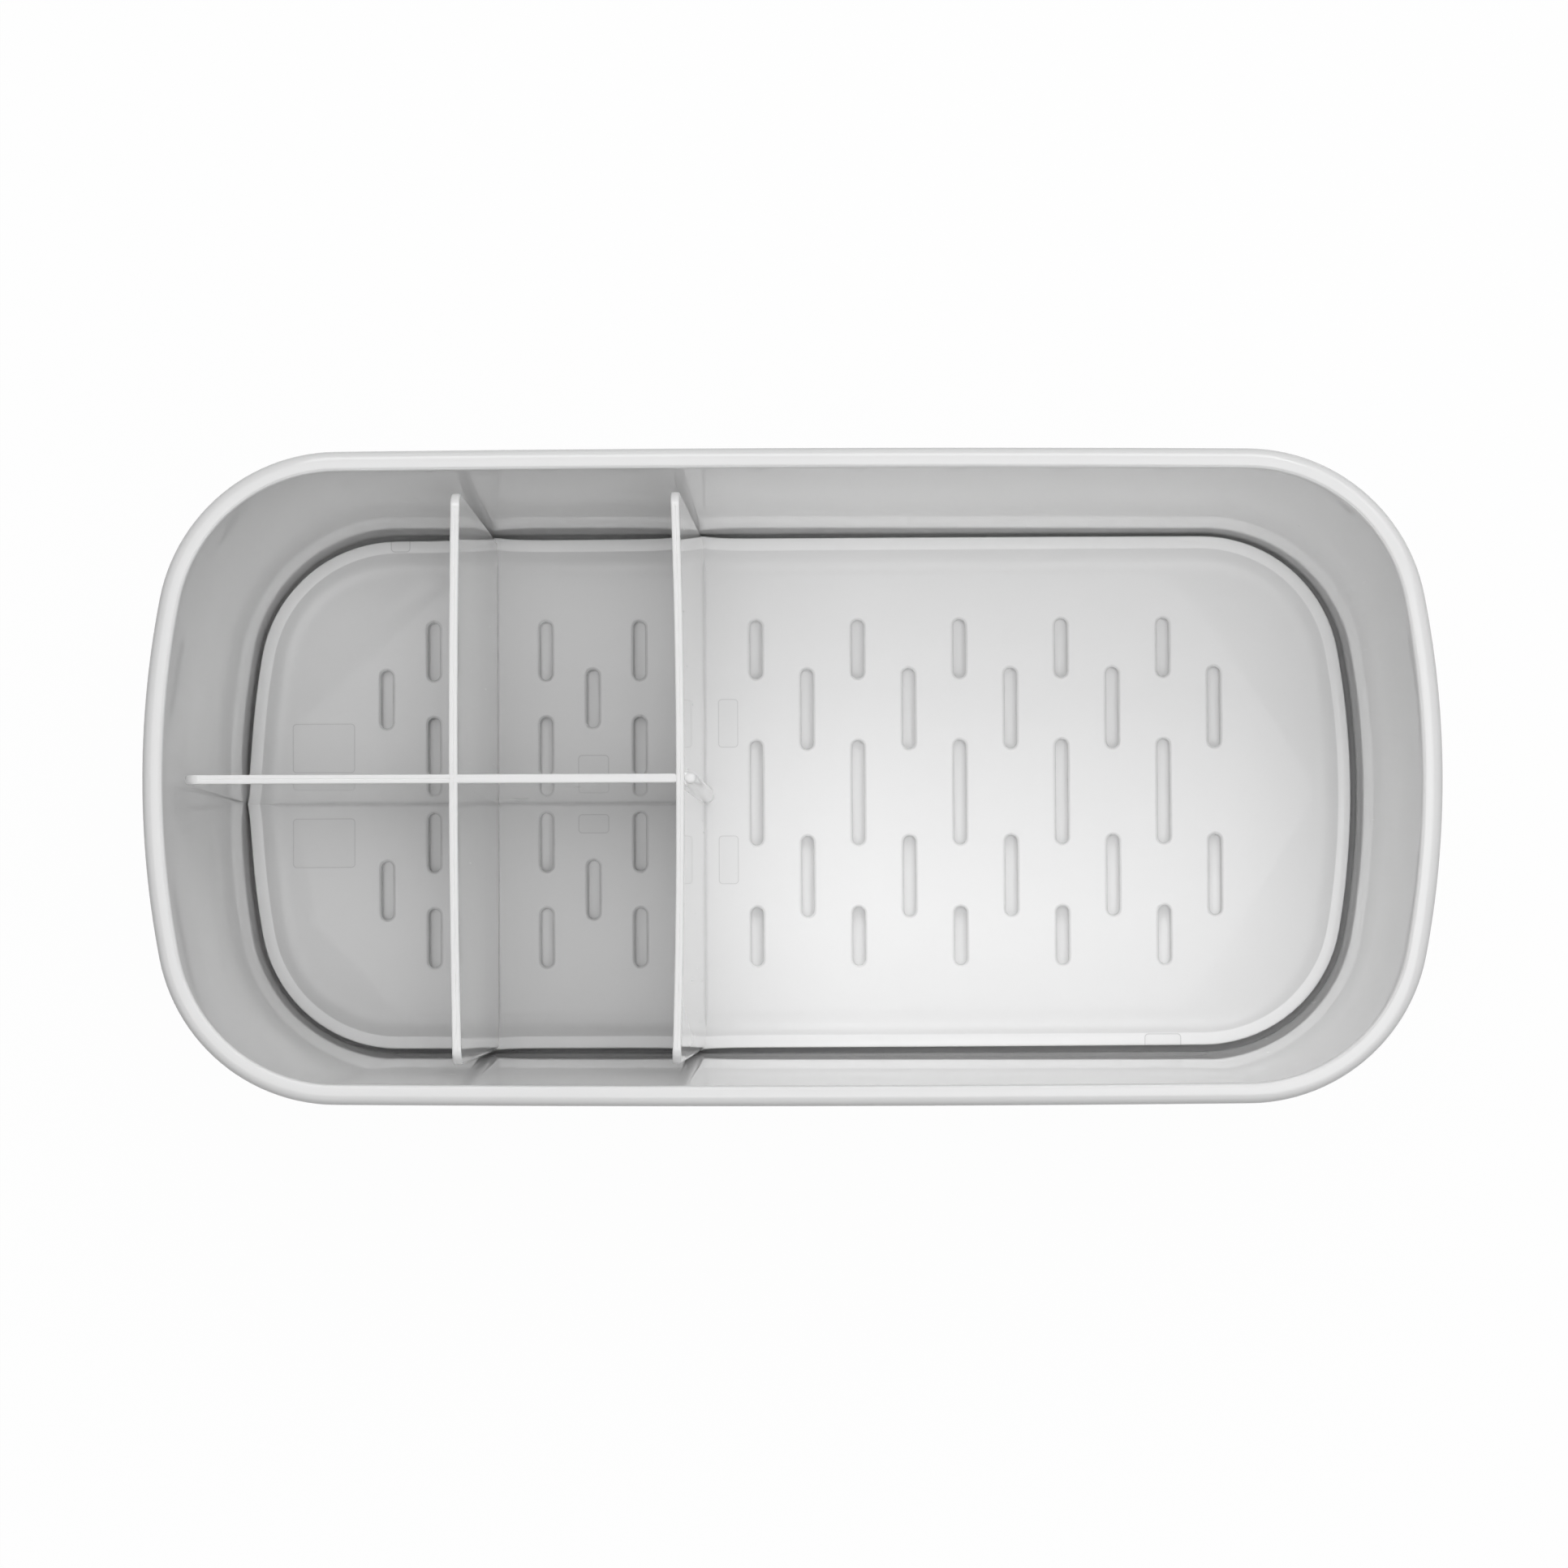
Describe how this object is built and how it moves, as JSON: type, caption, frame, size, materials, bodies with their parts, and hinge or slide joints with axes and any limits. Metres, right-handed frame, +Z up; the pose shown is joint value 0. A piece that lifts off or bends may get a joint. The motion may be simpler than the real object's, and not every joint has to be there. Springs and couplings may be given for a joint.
{
  "type": "bathroom caddy",
  "caption": "Open-topped glossy plastic caddy with rounded corners and a lift-out insert that has a slotted drain floor and upright dividers.",
  "frame": {"origin": "centre of the footprint, on the surface that the feet stand on", "axes": "+X along the length towards the large compartment, +Y across the width, +Z up out of the open top"},
  "size_m": [0.28, 0.1418, 0.115],
  "materials": {
    "tub_plastic": "glossy moulded white plastic",
    "insert_plastic": "glossy moulded white plastic",
    "foot_rubber": "matte light grey rubber"
  },
  "bodies": {
    "tub": {"tub": "tub_plastic", "foot_front_left": "foot_rubber", "foot_front_right": "foot_rubber", "foot_back_left": "foot_rubber", "foot_back_right": "foot_rubber"},
    "insert": {"insert": "insert_plastic"}
  },
  "joints": [
    {"name": "insert_lift", "type": "slide", "parent": "tub", "child": "insert", "axis": [0, 0, 1], "range_m": [0, 0.112]}
  ]
}
